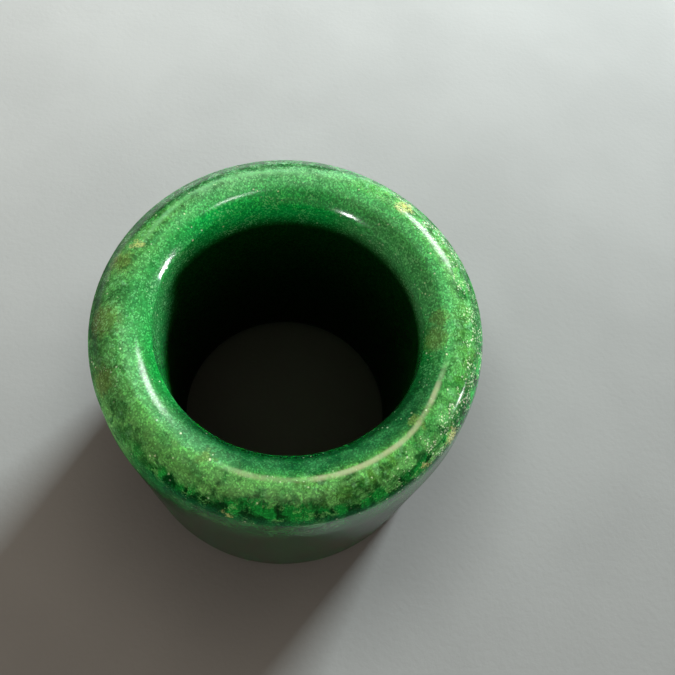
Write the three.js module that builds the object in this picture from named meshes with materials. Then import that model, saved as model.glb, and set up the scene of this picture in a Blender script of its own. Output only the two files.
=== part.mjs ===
// Jade thumb ring: one piece of stone, bored through, rounded at both ends and polished.
// Millimetres, +Z up. The origin is the centre of the foot, on the surface that the ring stands on.
import * as THREE from 'three';

// Stone
const BORE_DIAMETER = 20.5;
const WALL_THICKNESS = 5.25;
const HEIGHT = 27;

// Upper end: a long soft shoulder outside, a narrow land on top and a rounded mouth into the bore
const SHOULDER_INSET = 2.5;
const SHOULDER_DROP = 6.7;
const MOUTH_INSET = 2.25;
const MOUTH_DROP = 3.2;

// Foot: a tight outer edge, a flat land to stand on and a rounded lower mouth
const FOOT_EDGE_RADIUS = 0.8;
const LOWER_MOUTH_INSET = 2.25;
const LOWER_MOUTH_DROP = 3.3;

// The least flat land that stays between two roundings when the wall gets thin
const LEAST_LAND = 0.4;

// Fineness of the facets
const STEPS_AROUND = 72;
const STEPS_ON_SHOULDER = 8;
const STEPS_ON_MOUTH = 6;
const STEPS_ON_FOOT_EDGE = 3;

// Finish
const JADE_GREEN = 0x2f7d3a;
const JADE_ROUGHNESS = 0.15;

// How much of its stated inset a pair of roundings keeps, so that both and the land fit on the wall.
function shareOfWall(innerInset, outerInset) {
  return Math.min(1, (WALL_THICKNESS - LEAST_LAND) / (innerInset + outerInset));
}

// Profile in the plane of radius (x) and height (y), anticlockwise from the foot land's inner edge.
function ringProfile() {
  const boreRadius = BORE_DIAMETER / 2;
  const outerRadius = boreRadius + WALL_THICKNESS;
  const quarter = Math.PI / 2;

  const topShare = shareOfWall(MOUTH_INSET, SHOULDER_INSET);
  const mouthInset = MOUTH_INSET * topShare;
  const shoulderInset = SHOULDER_INSET * topShare;
  const footShare = shareOfWall(LOWER_MOUTH_INSET, FOOT_EDGE_RADIUS);
  const lowerMouthInset = LOWER_MOUTH_INSET * footShare;
  const footEdge = FOOT_EDGE_RADIUS * footShare;

  const arcs = [
    {
      centre: [outerRadius - footEdge, footEdge],
      radii: [footEdge, footEdge],
      from: -quarter,
      steps: STEPS_ON_FOOT_EDGE,
    },
    {
      centre: [outerRadius - shoulderInset, HEIGHT - SHOULDER_DROP],
      radii: [shoulderInset, SHOULDER_DROP],
      from: 0,
      steps: STEPS_ON_SHOULDER,
    },
    {
      centre: [boreRadius + mouthInset, HEIGHT - MOUTH_DROP],
      radii: [mouthInset, MOUTH_DROP],
      from: quarter,
      steps: STEPS_ON_MOUTH,
    },
    {
      centre: [boreRadius + lowerMouthInset, LOWER_MOUTH_DROP],
      radii: [lowerMouthInset, LOWER_MOUTH_DROP],
      from: 2 * quarter,
      steps: STEPS_ON_MOUTH,
    },
  ];
  const points = arcs.flatMap(({ centre, radii, from, steps }) => {
    const rounding = new THREE.EllipseCurve(...centre, ...radii, from, from + quarter);
    return rounding.getPoints(steps);
  });
  points.push(points[0].clone());
  return points;
}

// The ring turned about its bore; the lathe's own axis is Y, so the result is stood up on Z.
function ringBody() {
  const geometry = new THREE.LatheGeometry(ringProfile(), STEPS_AROUND);
  geometry.rotateX(Math.PI / 2);
  const jade = new THREE.MeshStandardMaterial({
    color: JADE_GREEN,
    roughness: JADE_ROUGHNESS,
    metalness: 0,
  });
  const mesh = new THREE.Mesh(geometry, jade);
  mesh.name = 'ring_body';
  return mesh;
}

const thumbRing = new THREE.Group();
thumbRing.add(ringBody());

export default thumbRing;
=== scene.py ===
"""A polished jade thumb ring and its plain stage, laid out as an add-on and run as a script."""

import math
from collections import namedtuple

import bmesh
import bpy
from bpy.props import FloatProperty, FloatVectorProperty, IntProperty, PointerProperty
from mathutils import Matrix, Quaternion, Vector, noise


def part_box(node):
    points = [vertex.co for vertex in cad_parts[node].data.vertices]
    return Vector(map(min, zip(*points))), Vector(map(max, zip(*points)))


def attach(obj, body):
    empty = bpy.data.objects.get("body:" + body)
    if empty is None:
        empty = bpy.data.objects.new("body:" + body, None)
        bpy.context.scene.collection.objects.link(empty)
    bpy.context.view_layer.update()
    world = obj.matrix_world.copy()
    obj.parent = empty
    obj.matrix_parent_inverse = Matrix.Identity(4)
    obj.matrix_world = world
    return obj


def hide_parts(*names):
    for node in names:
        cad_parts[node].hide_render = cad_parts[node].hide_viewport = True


bl_info = {
    "name": "Jade thumb ring",
    "version": (1, 0, 0),
    "blender": (4, 5, 0),
    "location": "3D View > Sidebar > Thumb ring",
    "description": "Models a polished jade thumb ring and the stage that it stands on",
    "category": "Add Mesh",
}

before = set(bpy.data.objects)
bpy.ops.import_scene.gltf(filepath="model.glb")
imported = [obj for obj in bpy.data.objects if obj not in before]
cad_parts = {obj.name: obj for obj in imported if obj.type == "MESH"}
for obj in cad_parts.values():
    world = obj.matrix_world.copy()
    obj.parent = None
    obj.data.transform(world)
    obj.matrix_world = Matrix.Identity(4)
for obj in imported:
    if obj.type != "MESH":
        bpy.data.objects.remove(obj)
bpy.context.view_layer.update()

RING_NODE = "ring_body"
RING_LOW, RING_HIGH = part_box(RING_NODE)
MM = 0.001

# The image that the camera frames, in pixels
IMAGE_SIZE = 675


class RingShape(bpy.types.PropertyGroup):
    """Sizes of the stone, in the ring's own frame."""

    outer_radius: FloatProperty(
        name="Outer radius",
        description="Radius of the outer wall",
        default=RING_HIGH.x,
        unit="LENGTH",
    )
    height: FloatProperty(
        name="Height",
        description="Height from the foot to the ridge of the rim",
        default=RING_HIGH.z,
        unit="LENGTH",
    )
    bore_radius: FloatProperty(
        name="Bore radius",
        description="Radius of the straight part of the bore",
        default=10.3 * MM,
        unit="LENGTH",
    )
    ridge_radius: FloatProperty(
        name="Ridge radius",
        description="Radius of the ridge where the mouth meets the land on top",
        default=12.5 * MM,
        unit="LENGTH",
    )
    mouth_slope: FloatProperty(
        name="Mouth slope",
        description="How far the mouth leans inwards just inside the ridge",
        default=math.radians(7.0),
        subtype="ANGLE",
    )
    mouth_turn: FloatProperty(
        name="Mouth turn",
        description="How far the mouth has turned over where the lip begins",
        default=math.radians(52.0),
        subtype="ANGLE",
    )
    lip_radius: FloatProperty(
        name="Lip radius",
        description="Tight rounding from the mouth into the straight bore",
        default=0.55 * MM,
        unit="LENGTH",
    )
    mouth_offset: FloatProperty(
        name="Mouth offset",
        description="How far the mouth was ground off the bore's centre, towards the front",
        default=0.2 * MM,
        unit="LENGTH",
    )
    shoulder_radius: FloatProperty(
        name="Shoulder radius",
        description="Rounding from the ridge over the shoulder",
        default=3.15 * MM,
        unit="LENGTH",
    )
    shoulder_start: FloatProperty(
        name="Shoulder start",
        description="How far the shoulder leans outwards at the ridge",
        default=math.radians(8.0),
        subtype="ANGLE",
    )
    draft: FloatProperty(
        name="Draft",
        description="Slope of the cone between the rounded shoulder and the straight wall",
        default=math.radians(5.5),
        subtype="ANGLE",
    )
    foot_edge: FloatProperty(
        name="Foot edge radius",
        description="Rounding of the foot's outer edge",
        default=0.8 * MM,
        unit="LENGTH",
    )
    lower_mouth_inset: FloatProperty(
        name="Lower mouth inset",
        description="Width of the rounding at the lower end of the bore",
        default=2.25 * MM,
        unit="LENGTH",
    )
    lower_mouth_drop: FloatProperty(
        name="Lower mouth height",
        description="Height of the rounding at the lower end of the bore",
        default=3.3 * MM,
        unit="LENGTH",
    )
    steps_around: IntProperty(
        name="Steps around",
        description="Facets around the ring",
        default=480,
    )


class JadeFinish(bpy.types.PropertyGroup):
    """Colours of the stone, as linear values."""

    body_green: FloatVectorProperty(
        name="Body green",
        description="Main green of the stone",
        subtype="COLOR",
        default=(0.028, 0.260, 0.042),
    )
    pale_green: FloatVectorProperty(
        name="Pale green",
        description="Cloudy pale parts",
        subtype="COLOR",
        default=(0.140, 0.490, 0.130),
    )
    deep_green: FloatVectorProperty(
        name="Deep green",
        description="Dark mottles and the outer skin",
        subtype="COLOR",
        default=(0.002, 0.085, 0.012),
    )
    teal_green: FloatVectorProperty(
        name="Teal green",
        description="Cooler green of the mouth",
        subtype="COLOR",
        default=(0.020, 0.360, 0.080),
    )
    yellow_green: FloatVectorProperty(
        name="Yellow green",
        description="Warmer green of some clouds",
        subtype="COLOR",
        default=(0.150, 0.420, 0.055),
    )
    # Painted reflection: the pale line along the ridge
    ridge_sheen_green: FloatVectorProperty(
        name="Worn green",
        description="Pale worn ridge of the rim",
        subtype="COLOR",
        default=(0.56, 0.57, 0.36),
    )
    lip_green: FloatVectorProperty(
        name="Lip green",
        description="Deep clear green where the mouth turns into the bore",
        subtype="COLOR",
        default=(0.004, 0.260, 0.040),
    )
    # Painted shade: the near black green that the bore turns to below its mouth
    bore_shade_green: FloatVectorProperty(
        name="Bore green",
        description="Near black green of the bore",
        subtype="COLOR",
        default=(0.0010, 0.030, 0.0030),
    )
    # Painted glow: light through the stone, on the far lip
    far_lip_glow_green: FloatVectorProperty(
        name="Clear green",
        description="Glowing green of the far lip",
        subtype="COLOR",
        default=(0.005, 0.620, 0.110),
    )
    shaded_mouth: FloatVectorProperty(
        name="Shaded mouth",
        description="Darker mouth in front, where the light goes into the stone",
        subtype="COLOR",
        default=(0.005, 0.085, 0.022),
    )
    # Partly the skin's own deep green, partly a painted glow of light through the stone in front
    skin_glow_green: FloatVectorProperty(
        name="Skin green",
        description="Clear deep green of the outer skin in front",
        subtype="COLOR",
        default=(0.008, 0.390, 0.050),
    )
    # Painted shade: the dark skin of the wall in front, with brown veils
    shaded_wall_green: FloatVectorProperty(
        name="Wall green",
        description="Dark outer wall under the shoulder",
        subtype="COLOR",
        default=(0.006, 0.046, 0.012),
    )
    shaded_wall_brown: FloatVectorProperty(
        name="Wall brown",
        description="Brown veils on the dark skin of the wall",
        subtype="COLOR",
        default=(0.018, 0.021, 0.010),
    )
    # Painted glow: light through the stone, in the far mouth and at its sides
    painted_glow_green: FloatVectorProperty(
        name="Glow green",
        description="Pale glowing green of the far mouth",
        subtype="COLOR",
        default=(0.150, 0.680, 0.220),
    )
    # Painted glints: pale grains that stand for light caught by crystal facets
    painted_glint_pale: FloatVectorProperty(
        name="Sparkle",
        description="Pale sparkling grains",
        subtype="COLOR",
        default=(0.80, 0.95, 0.66),
    )
    # Whitish crystal grains; this colour also paints sheen, the whitish haze on the lower left and the
    # ridge's line at the back
    salt_and_sheen: FloatVectorProperty(
        name="Salt",
        description="Whitish crystal grains",
        subtype="COLOR",
        default=(0.26, 0.64, 0.30),
    )
    land_green: FloatVectorProperty(
        name="Land green",
        description="Pale land of the rim in front",
        subtype="COLOR",
        default=(0.200, 0.600, 0.160),
    )
    # Cool patches in the painted shade of the mouth in front
    cool_green: FloatVectorProperty(
        name="Cool green",
        description="Cool patches of the mouth in front",
        subtype="COLOR",
        default=(0.025, 0.170, 0.052),
    )
    # Painted shade in front: dark streaks on the skin and a dark line along the bore
    shade_green: FloatVectorProperty(
        name="Shade green",
        description="Darkest clear stone in front",
        subtype="COLOR",
        default=(0.001, 0.035, 0.006),
    )
    # Painted reflection: the dull shaded floor seen low on the shoulder in front
    dull_reflection_green: FloatVectorProperty(
        name="Low green",
        description="Dull cool green low on the shoulder in front",
        subtype="COLOR",
        default=(0.008, 0.130, 0.045),
    )
    cream: FloatVectorProperty(
        name="Cream",
        description="Cream inclusions",
        subtype="COLOR",
        default=(0.62, 0.66, 0.24),
    )
    rust: FloatVectorProperty(
        name="Rust",
        description="Brown stains",
        subtype="COLOR",
        default=(0.240, 0.340, 0.075),
    )


class StageSettings(bpy.types.PropertyGroup):
    """Floor, lamps and camera."""

    floor_grey: FloatVectorProperty(
        name="Floor grey",
        description="Colour of the plain pale floor",
        subtype="COLOR",
        default=(0.455, 0.463, 0.472),
    )
    key_power: FloatProperty(
        name="Key power",
        description="Power of the main lamp",
        default=2.3,
        unit="POWER",
    )
    strip_power: FloatProperty(
        name="Strip power",
        description="Power of the long soft lamp overhead",
        default=0.30,
        unit="POWER",
    )
    focal_pixels: FloatProperty(
        name="Focal length in pixels",
        description="Focal length of the camera, in pixels of its image",
        default=701.1,
    )


class NodePen:
    """Draws the node tree of one material or world."""

    def __init__(self, owner):
        owner.use_nodes = True
        self.owner = owner
        self.tree = owner.node_tree
        self.tree.nodes.clear()

    def node(self, kind, values=None, **settings):
        """Adds a node, sets its properties, and sets or links its inputs."""
        made = self.tree.nodes.new(kind)
        for key, value in settings.items():
            setattr(made, key, value)
        for key, value in (values or {}).items():
            self.feed(made.inputs[key], value)
        return made

    def feed(self, socket, value):
        """Links a socket to another, or sets it to a constant."""
        if isinstance(value, bpy.types.NodeSocket):
            self.tree.links.new(value, socket)
        elif socket.type == "RGBA" and len(value) == 3:
            socket.default_value = (*value, 1.0)
        else:
            socket.default_value = value

    def math(self, operation, first, second=0.0, clamp=False):
        made = self.node("ShaderNodeMath", {0: first, 1: second}, operation=operation, use_clamp=clamp)
        return made.outputs[0]

    def times(self, first, *others):
        """The product of two or more values."""
        for other in others:
            first = self.math("MULTIPLY", first, other)
        return first

    def plus(self, first, second):
        return self.math("ADD", first, second)

    def minus(self, first, second):
        return self.math("SUBTRACT", first, second)

    def larger(self, first, second):
        return self.math("MAXIMUM", first, second)

    def vector(self, operation, first, second=(0.0, 0.0, 0.0)):
        made = self.node("ShaderNodeVectorMath", {0: first, 1: second}, operation=operation)
        return made.outputs[0]

    def scaled(self, vector, factor):
        made = self.node("ShaderNodeVectorMath", {0: vector, "Scale": factor}, operation="SCALE")
        return made.outputs[0]

    def distance(self, first, second):
        made = self.node("ShaderNodeVectorMath", {0: first, 1: second}, operation="DISTANCE")
        return made.outputs["Value"]

    def dot(self, first, second):
        made = self.node("ShaderNodeVectorMath", {0: first, 1: second}, operation="DOT_PRODUCT")
        return made.outputs["Value"]

    def step(self, value, low, high, to_low=0.0, to_high=1.0):
        """A smooth step of value from low to high; low may be above high."""
        made = self.node(
            "ShaderNodeMapRange",
            {"Value": value, "From Min": low, "From Max": high, "To Min": to_low, "To Max": to_high},
            interpolation_type="SMOOTHSTEP",
        )
        return made.outputs["Result"]

    def noise(self, place, scale, detail=4.0, roughness=0.55, distortion=0.0, output="Fac"):
        made = self.node(
            "ShaderNodeTexNoise",
            {
                "Vector": place,
                "Scale": scale,
                "Detail": detail,
                "Roughness": roughness,
                "Distortion": distortion,
            },
        )
        return made.outputs[output]

    def cells(self, place, scale):
        return self.node("ShaderNodeTexVoronoi", {"Vector": place, "Scale": scale}).outputs

    def channel(self, colour, index):
        """One of a colour's three channels."""
        return self.node("ShaderNodeSeparateColor", {0: colour}).outputs[index]

    def grey(self, value):
        """A colour with one value in all three channels."""
        return self.node("ShaderNodeCombineColor", {0: value, 1: value, 2: value}).outputs[0]

    def between(self, share, first, second):
        """A number between two others."""
        made = self.node("ShaderNodeMix", {0: share, 2: first, 3: second}, data_type="FLOAT")
        return made.outputs[0]

    def mix(self, share, first, second, blend="MIX"):
        """A colour between two others."""
        made = self.node(
            "ShaderNodeMix",
            {0: share, 6: first, 7: second},
            data_type="RGBA",
            blend_type=blend,
        )
        return made.outputs[2]

    def bump(self, height, distance):
        return self.node("ShaderNodeBump", {"Height": height, "Distance": distance}).outputs["Normal"]

    def surface(self, values):
        """Ends the tree in a principled surface and returns the material."""
        shader = self.node("ShaderNodeBsdfPrincipled", values)
        self.node("ShaderNodeOutputMaterial", {"Surface": shader.outputs["BSDF"]})
        return self.owner


class StonePlace:
    """Where a point of the stone is, as sockets in millimetres."""

    def __init__(self, pen):
        self.pen = pen
        raw = pen.node("ShaderNodeTexCoord").outputs["Object"]
        self.place = pen.scaled(raw, 1.0 / MM)
        axes = pen.node("ShaderNodeSeparateXYZ", {0: self.place}).outputs
        self.height = axes["Z"]
        self.flat = pen.node("ShaderNodeCombineXYZ", {0: axes["X"], 1: axes["Y"]}).outputs[0]
        self.radius = pen.distance(self.flat, (0.0, 0.0, 0.0))
        self.warped = self.shaken(0.30, 2.4)
        self.ragged = self.shaken(2.2, 1.6)

    def shaken(self, scale, reach):
        """The place, pushed about by noise, so that patches get uneven edges."""
        drift = self.pen.noise(self.place, scale, detail=3.0, output="Color")
        push = self.pen.vector("SUBTRACT", drift, (0.5, 0.5, 0.5))
        return self.pen.vector("ADD", self.place, self.pen.scaled(push, reach))

    def along(self, azimuth):
        """The distance from the axis along an azimuth in degrees."""
        turn = math.radians(azimuth)
        return self.pen.dot(self.flat, (math.cos(turn), math.sin(turn), 0.0))

    def towards(self, azimuth, low, high):
        """A smooth step of the distance along an azimuth in degrees."""
        return self.pen.step(self.along(azimuth), low, high)

    def ringed(self, low, high, to_low=0.0, to_high=1.0):
        """A smooth step of the radius."""
        return self.pen.step(self.radius, low, high, to_low, to_high)

    def raised(self, low, high, to_low=0.0, to_high=1.0):
        """A smooth step of the height."""
        return self.pen.step(self.height, low, high, to_low, to_high)


# Cream inclusions: place and size in millimetres
INCLUSIONS = (
    ((8.7, 10.0, 26.75), 1.05),
    ((-11.9, 4.9, 26.9), 0.6),
    ((12.0, -8.4, 25.3), 0.9),
    ((10.0, -10.6, 25.3), 0.55),
    ((-3.6, -14.3, 24.8), 0.55),
)

# Brown stains: place and size in millimetres
STAINS = (
    ((10.9, -1.2, 26.5), 1.5),
    ((11.3, 0.4, 26.6), 1.1),
    ((-13.5, -1.4, 26.6), 1.7),
    ((-12.9, -5.8, 26.0), 1.5),
    ((-13.0, 3.4, 26.7), 1.3),
    ((9.2, -8.0, 26.95), 0.8),
    ((-5.2, -11.2, 27.0), 0.8),
)

# The share of a mark's size inside which it is at full strength
MARK_CORE = 0.35

# Grains of the stone to the millimetre
COARSE_GRAINS = 3.4
FINE_GRAINS = 9.0
# Painted glints are drawn on these grains
GLINT_GRAINS = 6.0

# Heights of the fine relief
GRAIN_RELIEF = 0.012 * MM
POLISH_RELIEF = 0.022 * MM
NAP_RELIEF = 0.03 * MM

# The mesh's own layer with the distance from the ridge, in millimetres
RIM_LAYER = "rim"


def spots(spot, marks):
    """One mask for several ragged marks, each fading out at its own size."""
    pen = spot.pen
    masks = [pen.step(pen.distance(spot.ragged, centre), size, MARK_CORE * size) for centre, size in marks]
    total = masks[0]
    for mask in masks[1:]:
        total = pen.larger(total, mask)
    return total


def cloudy_green(spot, finish):
    """Clouds of paler and yellower green, dark mottles and small flecks."""
    pen = spot.pen
    clouds = pen.step(pen.noise(spot.warped, 0.50, detail=6.0, roughness=0.62), 0.34, 0.60)
    colour = pen.mix(clouds, finish.body_green, finish.pale_green)
    warmth = pen.step(pen.noise(spot.warped, 0.22, detail=3.0), 0.44, 0.62)
    warm_side = pen.plus(spot.towards(-35.0, 2.0, 11.0), spot.towards(180.0, 12.4, 13.6))
    warmer = pen.times(warmth, pen.plus(pen.times(warm_side, 0.55), 0.25))
    colour = pen.mix(warmer, colour, finish.yellow_green)

    # Paler on the right and the lower left, and frosty on the far side
    right = pen.times(spot.towards(44.0, 6.0, 10.5), spot.ringed(13.2, 12.4, 0.20, 0.95))
    lower_left = pen.times(spot.towards(212.0, 9.0, 11.5), spot.ringed(11.6, 12.3, 0.0, 0.85))
    lighter = pen.math("ADD", right, lower_left, clamp=True)
    colour = pen.mix(lighter, colour, finish.pale_green)
    frosty = pen.times(spot.towards(102.0, 9.8, 12.2), 0.85)
    colour = pen.mix(frosty, colour, finish.salt_and_sheen)

    # Mottles, weaker where the stone is paler, and flecks
    even = pen.minus(1.0, pen.times(lighter, 0.5))
    mottle = pen.noise(spot.warped, 0.70, detail=5.0, roughness=0.60, distortion=0.4)
    mottles = pen.times(pen.step(mottle, 0.48, 0.64, 0.0, 0.75), even)
    colour = pen.mix(mottles, colour, finish.deep_green)
    flecks = pen.noise(spot.place, 1.5, detail=2.0, roughness=0.5)
    colour = pen.mix(pen.step(flecks, 0.51, 0.70, 0.0, 0.50), colour, finish.deep_green)
    return pen.mix(pen.step(flecks, 0.45, 0.27, 0.0, 0.55), colour, finish.salt_and_sheen)


def outer_edge(spot, colour, finish):
    """The outer edge is dark all round, in patches, and darkens sooner on the far side."""
    pen = spot.pen
    behind = pen.times(spot.towards(112.0, 8.0, 12.5), 0.95)
    edge = pen.step(pen.plus(spot.radius, behind), 13.5, 14.4)
    patches = pen.noise(spot.warped, 0.9, detail=6.0, roughness=0.7)
    paler = pen.times(spot.towards(226.0, 11.5, 13.4), 0.30)
    share = pen.times(edge, pen.step(patches, 0.36, 0.56, 0.45, 0.95), pen.minus(1.0, paler))
    return pen.mix(share, colour, finish.deep_green)


def front_skin(spot, colour, finish):
    """In front the land is pale and cloudy, and the skin outside it clear deep green, partly its own and
    partly a painted glow of light through the stone.
    """
    pen = spot.pen
    front = spot.towards(-68.0, 3.5, 9.0)
    haze = pen.noise(spot.warped, 0.75, distortion=0.5)
    cloudy = pen.step(haze, 0.41, 0.57)
    land = pen.times(spot.towards(-95.0, 5.0, 11.0), spot.ringed(12.3, 12.6), cloudy)
    colour = pen.mix(land, colour, finish.land_green)

    # The skin begins on an uneven line, further out at both ends
    mottle = pen.noise(spot.warped, 0.9, detail=5.0, roughness=0.60)
    ends = pen.plus(spot.towards(-42.0, 9.0, 12.3), spot.towards(-145.0, 9.0, 12.0))
    uneven = pen.plus(spot.radius, pen.times(mottle, 1.4))
    uneven = pen.minus(uneven, pen.times(ends, 0.60))
    skin = pen.times(front, pen.step(uneven, 14.30, 14.70))
    # Painted glow in the skin's clear deep green
    colour = pen.mix(pen.times(skin, 0.95), colour, finish.skin_glow_green)

    # Dark streaks across the skin, partly mottles and partly painted shade, pale crumbs in it, and low on
    # it a painted dull reflection of the floor
    rays = pen.scaled(pen.vector("NORMALIZE", spot.flat), 14.0)
    streaks = pen.noise(rays, 1.1, roughness=0.6)
    both = pen.plus(pen.times(haze, 0.5), pen.times(streaks, 0.5))
    dark = pen.times(skin, pen.step(both, 0.43, 0.53, 0.0, 0.92))
    colour = pen.mix(dark, colour, finish.shade_green)
    crumbs = pen.noise(spot.ragged, 0.85, detail=5.0, roughness=0.65)
    pale = pen.times(skin, pen.step(crumbs, 0.54, 0.62, 0.0, 0.80))
    colour = pen.mix(pale, colour, finish.land_green)
    # Painted dull reflection of the floor, low on the shoulder
    low = pen.times(front, spot.raised(25.5, 24.9, 0.0, 0.7))
    return pen.mix(low, colour, finish.dull_reflection_green)


def mouth_green(spot, colour, finish):
    """The mouth: cool, with a painted glow of light through the stone on the far side and at both sides,
    painted shade in front, and deep green at the lip.
    """
    pen = spot.pen
    mouth = spot.ringed(12.5, 11.7)
    colour = pen.mix(pen.times(mouth, 0.35), colour, finish.teal_green)
    # Painted glow of light through the stone on the far side
    far = spot.towards(102.0, 6.3, 9.8)
    colour = pen.mix(pen.times(mouth, far, 0.60), colour, finish.painted_glow_green)
    lip = pen.times(spot.ringed(11.7, 10.6), 0.92)
    colour = pen.mix(lip, colour, finish.lip_green)
    # Painted glow on the far lip
    colour = pen.mix(pen.times(lip, far), colour, finish.far_lip_glow_green)
    # Painted glow on the right and left of the mouth
    on_right = pen.times(spot.towards(33.0, 7.2, 9.8), spot.ringed(12.6, 11.8, 0.0, 0.60))
    colour = pen.mix(on_right, colour, finish.painted_glow_green)
    on_left = pen.times(spot.towards(168.0, 8.6, 10.6), spot.ringed(12.4, 11.6, 0.0, 0.20))
    colour = pen.mix(on_left, colour, finish.painted_glow_green)

    # Painted shade in front, where the light goes into the stone: cool patches in dark clear stone
    front = pen.times(spot.ringed(12.35, 12.05), spot.towards(-80.0, 3.5, 8.5))
    patches = pen.step(pen.noise(spot.warped, 0.62, roughness=0.6), 0.36, 0.64)
    clear = pen.mix(patches, finish.shaded_mouth, finish.cool_green)
    colour = pen.mix(pen.times(front, spot.ringed(12.3, 11.5, 0.5, 0.95)), colour, clear)

    # A painted sheen, whitish, on the lower left, and in front a painted shade, a dark line along the bore
    band = pen.times(spot.ringed(10.9, 11.8, 0.0, 0.26), spot.ringed(12.8, 12.2))
    painted_sheen = pen.times(spot.towards(222.0, 9.0, 11.4), band)
    colour = pen.mix(painted_sheen, colour, finish.salt_and_sheen)
    line = pen.times(front, spot.ringed(11.25, 10.75, 0.0, 0.9))
    return pen.mix(line, colour, finish.shade_green)


def painted_ridge_sheen(spot, colour, finish):
    """A painted reflection: a pale line along the ridge of the rim, stronger in some places than in
    others.
    """
    pen = spot.pen
    rim = pen.math("ABSOLUTE", pen.node("ShaderNodeAttribute", attribute_name=RIM_LAYER).outputs["Fac"])
    front = spot.towards(-62.0, 7.0, 10.5)
    back = pen.times(spot.towards(115.0, 8.5, 12.0), 0.9)
    patchy = pen.step(pen.noise(spot.place, 0.35, detail=3.0), 0.36, 0.58, 0.30, 1.0)
    top = spot.raised(26.2, 26.7)
    share = pen.times(pen.step(rim, 0.30, 0.06), pen.larger(front, back), patchy, top, 0.8)
    return pen.mix(share, colour, pen.mix(front, finish.salt_and_sheen, finish.ridge_sheen_green))


def painted_bore_shade(spot):
    """Painted shade in the bore: how far it has fallen into the dark, later on the left than on the other
    sides.
    """
    pen = spot.pen
    left = spot.towards(190.0, 8.4, 10.2)
    fall = pen.between(left, spot.raised(25.2, 22.6), spot.raised(26.2, 17.0))
    return pen.times(spot.ringed(10.9, 10.55), fall)


def painted_wall_shade_share(spot):
    """Painted shade: how far the wall under the shoulder has turned to a dark skin, only in front, with
    uneven edges.
    """
    pen = spot.pen
    sway = pen.minus(pen.noise(spot.place, 0.22, detail=5.0, roughness=0.6), 0.5)
    height = pen.plus(spot.height, pen.times(sway, 6.0))
    below = pen.times(pen.step(height, 24.0, 18.5), spot.ringed(12.0, 13.0))
    ahead = pen.plus(spot.along(-97.0), pen.times(sway, 14.0))
    return pen.times(below, pen.step(ahead, -2.5, 5.0))


def outer_wall(spot, wall_shade, colour, finish):
    """The wall: deep green clouded stone, and in front a painted shade, a dark skin with green and brown
    veils.
    """
    pen = spot.pen
    below = pen.times(spot.raised(25.4, 20.5), spot.ringed(13.4, 14.2))
    clouds = pen.noise(spot.warped, 0.28, detail=6.0, roughness=0.62)
    clouded = pen.times(below, pen.step(clouds, 0.36, 0.60, 0.35, 0.90))
    colour = pen.mix(clouded, colour, finish.deep_green)
    veils = pen.step(pen.noise(spot.warped, 0.45, detail=5.0), 0.42, 0.62)
    return pen.mix(wall_shade, colour, pen.mix(veils, finish.shaded_wall_green, finish.shaded_wall_brown))


def crystal_grain(spot, fine, calm, colour):
    """Crystal grains, each lighter or darker than its neighbour, and calmer in front."""
    pen = spot.pen
    coarse = pen.channel(pen.cells(spot.place, COARSE_GRAINS)["Color"], 0)
    specks = pen.math("POWER", fine, 2.2)
    tone = pen.plus(pen.times(coarse, 0.16), pen.times(specks, 0.84))
    swing = pen.minus(1.08, pen.times(calm, 0.15))
    shade = pen.plus(pen.times(pen.minus(tone, 0.34), swing), 0.92)
    return pen.mix(1.0, colour, pen.grey(shade), "MULTIPLY")


def whitish_grains(spot, fine, calm, paleness, colour, finish):
    """Whitish grains in the pale stone, fewer of them in front."""
    pen = spot.pen
    frost = pen.step(pen.noise(spot.place, 0.45), 0.44, 0.64, 0.10, 0.60)
    fewer = pen.minus(1.0, pen.times(calm, 0.85))
    share = pen.times(pen.step(fine, 0.66, 0.95), frost, paleness, fewer)
    return pen.mix(share, colour, finish.salt_and_sheen)


def painted_glint_share(spot, open_side, paleness):
    """Painted glints: pale sparkling grains of many sizes, most of them on the upper edge at the right."""
    pen = spot.pen
    grains = pen.cells(spot.place, GLINT_GRAINS)
    size = pen.plus(pen.channel(grains["Color"], 0), 0.35)
    pick = pen.channel(grains["Color"], 2)
    clusters = pen.step(pen.noise(spot.place, 0.75, roughness=0.65), 0.46, 0.60)
    at_right = pen.times(spot.ringed(12.9, 13.5), spot.towards(4.0, 6.0, 11.0))
    right_upper_edge = pen.times(at_right, spot.raised(24.2, 25.4, 0.02, 1.0))
    bore_edge = pen.times(spot.ringed(11.3, 10.9), spot.towards(-40.0, 2.0, 8.0))
    edges = pen.plus(pen.times(right_upper_edge, 0.95), pen.times(bore_edge, 0.08))
    density = pen.times(clusters, pen.plus(edges, 0.03))
    chosen = pen.math("GREATER_THAN", pick, pen.minus(0.997, density))
    core = pen.step(pen.math("DIVIDE", grains["Distance"], size), 0.60, 0.20)
    seen = pen.times(open_side, pen.plus(pen.times(paleness, 0.7), 0.3))
    return pen.times(chosen, core, seen)


def polish_share(spot, bore, wall_shade):
    """How far the polish shows: less in the bore, on the wall's painted shade and on the edge, but for its
    front.
    """
    pen = spot.pen
    not_in_front = pen.minus(1.0, spot.towards(-55.0, 5.0, 11.0))
    away = pen.times(spot.ringed(13.9, 14.7), not_in_front, spot.raised(6.0, 26.0))
    dulled = pen.larger(pen.times(bore, 0.75), pen.times(wall_shade, 0.3))
    dulled = pen.larger(dulled, pen.times(away, 0.85))
    return pen.minus(1.0, dulled)


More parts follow.
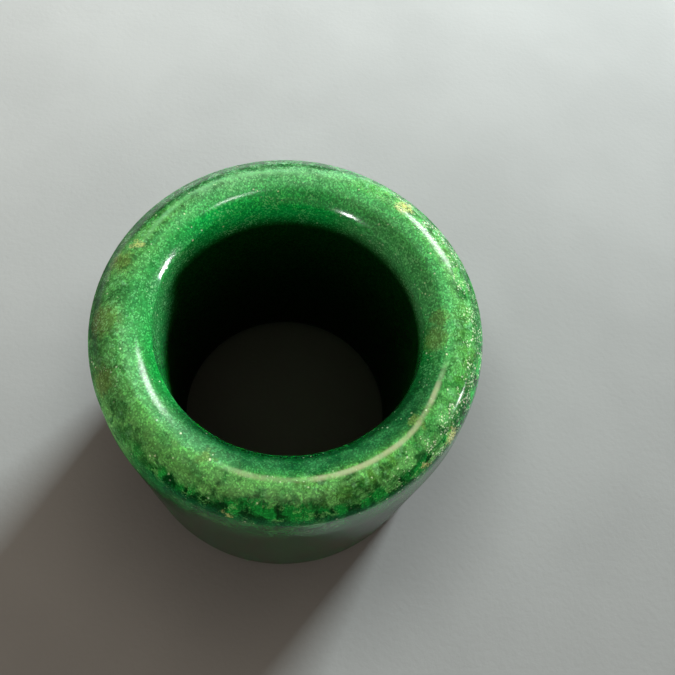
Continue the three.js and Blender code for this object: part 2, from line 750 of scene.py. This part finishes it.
def polished_jade(finish):
    """Mottled, granular, translucent green stone under a hard polish."""
    pen = NodePen(bpy.data.materials.new("polished_jade"))
    spot = StonePlace(pen)
    colour = cloudy_green(spot, finish)
    colour = outer_edge(spot, colour, finish)
    colour = front_skin(spot, colour, finish)
    colour = mouth_green(spot, colour, finish)
    # Painted shade on the wall in front
    wall_shade = painted_wall_shade_share(spot)
    colour = outer_wall(spot, wall_shade, colour, finish)
    bore = painted_bore_shade(spot)
    # Painted shade in the bore
    colour = pen.mix(bore, colour, finish.bore_shade_green)
    colour = pen.mix(pen.times(spots(spot, STAINS), 0.5), colour, finish.rust)

    # Grains, and what lies over them
    fine = pen.channel(pen.cells(spot.place, FINE_GRAINS)["Color"], 1)
    calm = spot.towards(-82.0, 1.0, 8.0)
    colour = crystal_grain(spot, fine, calm, colour)
    paleness = pen.step(pen.channel(colour, 1), 0.05, 0.30)
    colour = whitish_grains(spot, fine, calm, paleness, colour, finish)
    colour = painted_ridge_sheen(spot, colour, finish)
    crumbly = pen.times(spots(spot, INCLUSIONS), pen.step(fine, 0.15, 0.55, 0.15, 0.95))
    colour = pen.mix(crumbly, colour, finish.cream)
    open_side = pen.minus(1.0, pen.larger(bore, wall_shade))
    # Painted glints
    painted_glints = painted_glint_share(spot, open_side, paleness)
    colour = pen.mix(pen.times(painted_glints, 0.95), colour, finish.painted_glint_pale)

    # Relief of the grains under the polish, and the polish's own faint wear
    relief = pen.plus(pen.times(fine, 0.6), pen.times(painted_glints, 0.8))
    wear = pen.noise(spot.place, 1.3, detail=5.0)
    waves = pen.noise(spot.place, 0.55, detail=3.0)
    return pen.surface(
        {
            "Base Color": colour,
            "Roughness": pen.step(wear, 0.35, 0.75, 0.45, 0.60),
            "Normal": pen.bump(relief, GRAIN_RELIEF),
            "IOR": 1.5,
            "Specular IOR Level": 0.0,
            "Subsurface Weight": 0.7,
            "Subsurface Radius": (0.10, 1.0, 0.30),
            "Subsurface Scale": 2.0 * MM,
            "Coat Weight": polish_share(spot, bore, wall_shade),
            "Coat Roughness": 0.18,
            "Coat IOR": 1.5,
            "Coat Normal": pen.bump(waves, POLISH_RELIEF),
        }
    )


# Painted fall of light: how the floor's tone runs across it, to the millimetre
FLOOR_SLOPE = (-0.0040, 0.0075, 0.0)

# Painted shade on the floor round the foot: its reach in millimetres and its tone at the wall
FOOT_SHADE_REACH = 14.0
FOOT_SHADE = 0.62


def pale_floor(settings):
    """Plain pale matt floor with a faint unevenness, a painted fall of light across it and painted shade
    close to the ring's foot.
    """
    pen = NodePen(bpy.data.materials.new("pale_floor"))
    place = pen.scaled(pen.node("ShaderNodeTexCoord").outputs["Object"], 1.0 / MM)
    haze = pen.step(pen.noise(place, 0.05, detail=3.0), 0.3, 0.7, 0.96, 1.04)
    # Painted fall of light across the floor
    run = pen.step(pen.dot(place, FLOOR_SLOPE), -0.40, 0.95, 0.72, 1.35)
    # Painted shade round the foot
    from_wall = pen.minus(pen.distance(place, (0.0, 0.0, 0.0)), RING_HIGH.x / MM)
    foot = pen.step(pen.math("ABSOLUTE", from_wall), 0.0, FOOT_SHADE_REACH, FOOT_SHADE, 1.0)
    tone = pen.grey(pen.times(haze, foot, run))
    nap = pen.noise(place, 1.6, detail=3.0)
    return pen.surface(
        {
            "Base Color": pen.mix(1.0, settings.floor_grey, tone, "MULTIPLY"),
            "Roughness": pen.step(nap, 0.3, 0.7, 0.85, 0.95),
            "Specular IOR Level": 0.2,
            "Normal": pen.bump(nap, NAP_RELIEF),
        }
    )


# Steps along each part of the outline
FOOT_EDGE_STEPS = 8
WALL_STEPS = 24
CONE_STEPS = 14
SHOULDER_STEPS = 30
MOUTH_STEPS = 26
LIP_STEPS = 12
BORE_STEPS = 24
LOWER_MOUTH_STEPS = 14

# Vertices nearer than this are merged
MERGE_DISTANCE = 0.001 * MM

# The faint ripple of the hand polish
RIPPLES_TO_THE_METRE = 90.0
RIPPLE_HEIGHT = 0.05 * MM

# Where the mouth goes off its centre: share of the height where that starts, its rise and its width
MOUTH_STRAY_START = 0.6
MOUTH_STRAY_RISE = 0.3
MOUTH_STRAY_WIDTH = 1.2 * MM

# Where the ridge goes off its circle: share of the height where that starts, and its width
RIDGE_STRAY_START = 0.93
RIDGE_STRAY_WIDTH = 1.6 * MM

# How far the ridge strays from its circle: angle in degrees, stray outwards in millimetres
RIDGE_WANDER = (
    (0.0, -0.45),
    (45.0, -0.15),
    (90.0, 0.0),
    (130.0, 0.3),
    (160.0, 0.1),
    (200.0, 0.0),
    (245.0, -0.1),
    (290.0, 0.05),
    (310.0, 0.05),
    (340.0, -0.5),
    (360.0, -0.45),
)


def arc(centre, radii, start, end, steps):
    """Points of an elliptic arc in the plane of radius and height; angles in degrees."""
    points = []
    for index in range(steps + 1):
        angle = math.radians(start + (end - start) * index / steps)
        points.append((centre[0] + radii[0] * math.cos(angle), centre[1] + radii[1] * math.sin(angle)))
    return points


def line(start, end, steps):
    """Points between the two ends of a straight run, without the ends."""
    points = []
    for index in range(1, steps):
        share = index / steps
        points.append((start[0] + (end[0] - start[0]) * share, start[1] + (end[1] - start[1]) * share))
    return points


def mouth_curve(shape):
    """Points from the ridge over the mouth's wide rounding and the lip's tight one to the bore."""
    turn = math.sin(shape.mouth_turn)
    lip = shape.lip_radius
    inset = shape.ridge_radius - shape.bore_radius - lip * (1.0 - turn)
    wide = inset / (turn - math.sin(shape.mouth_slope))
    middle = (
        shape.ridge_radius + wide * math.sin(shape.mouth_slope),
        shape.height - wide * math.cos(shape.mouth_slope),
    )
    lip_middle = (shape.bore_radius + lip, middle[1] + (wide - lip) * math.cos(shape.mouth_turn))
    start = 90.0 + math.degrees(shape.mouth_slope)
    end = 90.0 + math.degrees(shape.mouth_turn)
    mouth = arc(middle, (wide, wide), start, end, MOUTH_STEPS)
    return mouth + arc(lip_middle, (lip, lip), end, 180.0, LIP_STEPS)[1:]


def ring_profile(shape):
    """Closed outline of the wall, anticlockwise from the foot, as points of radius and height."""
    shoulder = shape.shoulder_radius
    shoulder_middle = (
        shape.ridge_radius - shoulder * math.sin(shape.shoulder_start),
        shape.height - shoulder * math.cos(shape.shoulder_start),
    )
    cone_top = (
        shoulder_middle[0] + shoulder * math.cos(shape.draft),
        shoulder_middle[1] + shoulder * math.sin(shape.draft),
    )
    wall_top = cone_top[1] - (shape.outer_radius - cone_top[0]) / math.tan(shape.draft)
    mouth = mouth_curve(shape)
    lower = (shape.lower_mouth_inset, shape.lower_mouth_drop)
    foot = (shape.outer_radius - shape.foot_edge, shape.foot_edge)

    outline = arc(foot, (shape.foot_edge, shape.foot_edge), -90.0, 0.0, FOOT_EDGE_STEPS)
    outline += line((shape.outer_radius, shape.foot_edge), (shape.outer_radius, wall_top), WALL_STEPS)
    outline += line((shape.outer_radius, wall_top), cone_top, CONE_STEPS)
    start = math.degrees(shape.draft)
    end = 90.0 - math.degrees(shape.shoulder_start)
    outline += arc(shoulder_middle, (shoulder, shoulder), start, end, SHOULDER_STEPS)
    outline += mouth[1:]
    outline += line(mouth[-1], (shape.bore_radius, lower[1]), BORE_STEPS)
    lower_middle = (shape.bore_radius + lower[0], lower[1])
    outline += arc(lower_middle, lower, 180.0, 270.0, LOWER_MOUTH_STEPS)[1:]
    return outline


def eased(share):
    """A smooth step of a share, held between 0 and 1."""
    held = min(1.0, max(0.0, share))
    return held * held * (3.0 - 2.0 * held)


def ridge_wander(angle):
    """How far the ridge strays outwards from its circle at an angle in degrees, in metres."""
    for (start, first), (end, second) in zip(RIDGE_WANDER, RIDGE_WANDER[1:]):
        if start <= angle <= end:
            return (first + (second - first) * eased((angle - start) / (end - start))) * MM
    raise ValueError("angle outside the circle")


def hand_ground(work, shape):
    """Lets the turned stone stray as hand grinding leaves it, and notes the distance from the ridge."""
    rim = work.verts.layers.float.new(RIM_LAYER)
    for vertex in work.verts:
        place = vertex.co.copy()
        radius = math.hypot(place.x, place.y)
        outwards = Vector((place.x, place.y, 0.0)) / radius
        height = place.z / shape.height
        vertex[rim] = (radius - shape.ridge_radius) / MM
        vertex.co += outwards * noise.noise(place * RIPPLES_TO_THE_METRE) * RIPPLE_HEIGHT * height
        if height > MOUTH_STRAY_START and radius < shape.ridge_radius:
            inner = eased((shape.ridge_radius - radius) / MOUTH_STRAY_WIDTH)
            rise = eased((height - MOUTH_STRAY_START) / MOUTH_STRAY_RISE)
            vertex.co.y -= shape.mouth_offset * rise * inner
        if height > RIDGE_STRAY_START:
            angle = math.degrees(math.atan2(place.y, place.x)) % 360.0
            share = eased(1.0 - abs(radius - shape.ridge_radius) / RIDGE_STRAY_WIDTH)
            vertex.co += outwards * ridge_wander(angle) * share


def ring_mesh(shape):
    """Spins the outline round the bore and grinds the result by hand."""
    work = bmesh.new()
    corners = [work.verts.new((radius, 0.0, height)) for radius, height in ring_profile(shape)]
    sides = [work.edges.new((corners[i - 1], corners[i])) for i in range(len(corners))]
    bmesh.ops.spin(
        work,
        geom=corners + sides,
        cent=(0.0, 0.0, 0.0),
        axis=(0.0, 0.0, 1.0),
        angle=math.tau,
        steps=shape.steps_around,
        use_merge=True,
        use_duplicate=False,
    )
    bmesh.ops.remove_doubles(work, verts=work.verts, dist=MERGE_DISTANCE)
    bmesh.ops.recalc_face_normals(work, faces=work.faces)
    hand_ground(work, shape)
    for face in work.faces:
        face.smooth = True
    mesh = bpy.data.meshes.new("jade_ring")
    work.to_mesh(mesh)
    work.free()
    return mesh


class THUMBRING_OT_ring(bpy.types.Operator):
    """Model the jade ring in place of its plain solid"""

    bl_idname = "thumb_ring.ring"
    bl_label = "Jade ring"

    def execute(self, context):
        scene = context.scene
        ring = bpy.data.objects.new("jade_ring", ring_mesh(scene.ring_shape))
        scene.collection.objects.link(ring)
        ring.data.materials.append(polished_jade(scene.jade_finish))
        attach(ring, "root")
        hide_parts(RING_NODE)
        return {"FINISHED"}


# The floor's two parts meet along a line just outside the picture; lengths in metres
FLOOR_REACH = 2.0
FLOOR_SPLIT = -0.027
FLOOR_PARTS = (("floor", FLOOR_SPLIT, FLOOR_REACH), ("floor_front", -FLOOR_REACH, FLOOR_SPLIT))

# The lamp that lights the ring and throws its shadow; angles in degrees, lengths in metres
KEY_AZIMUTH = 55.2
KEY_ELEVATION = 32.0
KEY_DISTANCE = 0.40
KEY_SIZE = (0.09, 0.05)
KEY_COLOUR = (0.90, 1.0, 0.98)

# The long soft lamp overhead, in metres
STRIP_PLACE = Vector((0.0, -0.20, 0.30))
STRIP_SIZE = (0.30, 0.87)
STRIP_COLOUR = (1.0, 0.94, 0.80)

WHITE = (1.0, 1.0, 1.0)

# A lamp that shows as a highlight; its aim in millimetres, angles in degrees, lengths in metres
Glint = namedtuple("Glint", "name aim azimuth elevation distance size power spread")
GLINTS = (
    Glint("window_glint", (0.0, 0.0, 26.5), 55.0, 28.0, 1.0, (0.28, 0.17), 2.9, 180.0),
    Glint("side_glint", (0.0, 0.0, 26.0), -1.4, 15.9, 0.6, (0.03, 0.03), 0.45, 180.0),
    Glint("lip_glint", (-9.9, 3.4, 26.0), 1.9, 11.6, 0.06, (0.0104, 0.008), 0.00024, 5.0),
    Glint("far_glint", (4.2, 9.4, 25.9), -123.6, 23.0, 0.06, (0.0008, 0.0008), 0.00002, 9.0),
    Glint("arc_glint", (-5.15, 9.85, 26.6), -38.0, 65.5, 0.06, (0.009, 0.004), 0.00003, 14.0),
)

# Light of the room: plain near the horizon, warm above it
HORIZON_COLOUR = (0.93, 0.93, 0.92)
ROOM_COLOUR = (1.0, 0.80, 0.59)
HORIZON_LEVEL = 0.90
OVERHEAD_LEVEL = 0.09
REFLECTED_LEVEL = 0.03

# The camera; its roll in degrees, its sensor in millimetres
CAMERA_PLACE = Vector((0.0, -22.2, 74.2)) * MM
CAMERA_AIM = Vector((4.51, 3.93, 13.5)) * MM
CAMERA_ROLL = 12.18
SENSOR_WIDTH = 36.0
NEAREST_SEEN = 1.0 * MM


def around(azimuth, elevation, distance, target):
    """A place seen from the target at that azimuth and elevation, in degrees."""
    turn = math.radians(azimuth)
    rise = math.radians(elevation)
    aim = Vector((math.cos(rise) * math.cos(turn), math.cos(rise) * math.sin(turn), math.sin(rise)))
    return target + distance * aim


def soft_lamp(name, place, target, size, power, colour=WHITE):
    """A rectangular lamp at a place, facing the target."""
    light = bpy.data.lights.new(name, "AREA")
    light.shape = "RECTANGLE"
    light.size, light.size_y = size
    light.energy = power
    light.color = colour
    lamp = bpy.data.objects.new(name, light)
    lamp.location = place
    lamp.rotation_euler = (target - place).to_track_quat("-Z", "Y").to_euler()
    bpy.context.scene.collection.objects.link(lamp)
    return lamp


class THUMBRING_OT_stage(bpy.types.Operator):
    """Lay the floor, hang the lamps and set up the camera"""

    bl_idname = "thumb_ring.stage"
    bl_label = "Stage"

    def execute(self, context):
        scene = context.scene
        settings = scene.ring_stage
        self.lay_floor(scene, settings)
        self.hang_lamps(settings)
        self.paint_world(scene)
        self.set_camera(scene, settings)
        scene.view_settings.view_transform = "Standard"
        return {"FINISHED"}

    def lay_floor(self, scene, settings):
        """The part of the floor in front, outside the picture, is kept out of the ring's reflections."""
        paint = pale_floor(settings)
        for name, front, back in FLOOR_PARTS:
            work = bmesh.new()
            bmesh.ops.create_grid(work, x_segments=4, y_segments=4, size=1.0)
            bmesh.ops.scale(work, verts=work.verts, vec=(FLOOR_REACH, 0.5 * (back - front), 1.0))
            bmesh.ops.translate(work, verts=work.verts, vec=(0.0, 0.5 * (back + front), 0.0))
            mesh = bpy.data.meshes.new(name)
            work.to_mesh(mesh)
            work.free()
            floor = bpy.data.objects.new(name, mesh)
            floor.data.materials.append(paint)
            floor.visible_glossy = name == "floor"
            scene.collection.objects.link(floor)

    def hang_lamps(self, settings):
        """One lamp lights the scene; the others only show reflected in the polish."""
        middle = Vector((0.0, 0.0, 0.5 * (RING_LOW.z + RING_HIGH.z)))
        key_place = around(KEY_AZIMUTH, KEY_ELEVATION, KEY_DISTANCE, middle)
        key = soft_lamp("key_lamp", key_place, middle, KEY_SIZE, settings.key_power, KEY_COLOUR)
        key.visible_glossy = False

        # The strip faces straight down, with its long side from front to back
        under = STRIP_PLACE + Vector((0.0, 0.0, -1.0))
        strip = soft_lamp("strip_lamp", STRIP_PLACE, under, STRIP_SIZE, settings.strip_power, STRIP_COLOUR)
        strip.rotation_euler = (0.0, 0.0, 0.0)
        strip.visible_diffuse = False
        for glint in GLINTS:
            aim = Vector(glint.aim) * MM
            place = around(glint.azimuth, glint.elevation, glint.distance, aim)
            lamp = soft_lamp(glint.name, place, aim, glint.size, glint.power)
            lamp.data.spread = math.radians(glint.spread)
            lamp.visible_diffuse = False

    def paint_world(self, scene):
        """A dim room: plain and brighter near the horizon, warm overhead, and dark in reflections."""
        world = bpy.data.worlds.new("studio")
        pen = NodePen(world)
        place = pen.node("ShaderNodeTexCoord").outputs["Generated"]
        height = pen.node("ShaderNodeSeparateXYZ", {0: place}).outputs["Z"]
        level = pen.step(height, 0.30, 0.85, HORIZON_LEVEL, OVERHEAD_LEVEL)
        reflected = pen.node("ShaderNodeLightPath").outputs["Is Glossy Ray"]
        light = {
            "Color": pen.mix(pen.step(height, 0.20, 0.50), HORIZON_COLOUR, ROOM_COLOUR),
            "Strength": pen.between(reflected, level, REFLECTED_LEVEL),
        }
        back = pen.node("ShaderNodeBackground", light)
        pen.node("ShaderNodeOutputWorld", {"Surface": back.outputs["Background"]})
        scene.world = world

    def set_camera(self, scene, settings):
        """The camera looks down at the ring from the front, a little rolled."""
        view = bpy.data.cameras.new("camera")
        view.sensor_width = SENSOR_WIDTH
        view.lens = settings.focal_pixels * SENSOR_WIDTH / IMAGE_SIZE
        view.clip_start = NEAREST_SEEN
        camera = bpy.data.objects.new("camera", view)
        camera.location = CAMERA_PLACE
        level = (CAMERA_AIM - CAMERA_PLACE).to_track_quat("-Z", "Y")
        roll = Quaternion((0.0, 0.0, 1.0), math.radians(CAMERA_ROLL))
        camera.rotation_euler = (level @ roll).to_euler()
        scene.collection.objects.link(camera)
        scene.camera = camera


class THUMBRING_PT_panel(bpy.types.Panel):
    """Lists the ring's sizes, colours and steps"""

    bl_label = "Thumb ring"
    bl_idname = "THUMBRING_PT_panel"
    bl_space_type = "VIEW_3D"
    bl_region_type = "UI"
    bl_category = "Thumb ring"

    def draw(self, context):
        layout = self.layout
        for group in (context.scene.ring_shape, context.scene.jade_finish, context.scene.ring_stage):
            for key in group.__annotations__:
                layout.prop(group, key)
        for step in (THUMBRING_OT_ring, THUMBRING_OT_stage):
            layout.operator(step.bl_idname)


CLASSES = (RingShape, JadeFinish, StageSettings, THUMBRING_OT_ring, THUMBRING_OT_stage, THUMBRING_PT_panel)


def register():
    for item in CLASSES:
        bpy.utils.register_class(item)
    bpy.types.Scene.ring_shape = PointerProperty(type=RingShape)
    bpy.types.Scene.jade_finish = PointerProperty(type=JadeFinish)
    bpy.types.Scene.ring_stage = PointerProperty(type=StageSettings)


def unregister():
    del bpy.types.Scene.ring_stage
    del bpy.types.Scene.jade_finish
    del bpy.types.Scene.ring_shape
    for item in reversed(CLASSES):
        bpy.utils.unregister_class(item)


def main():
    register()
    bpy.ops.thumb_ring.ring()
    bpy.ops.thumb_ring.stage()


if __name__ == "__main__":
    main()
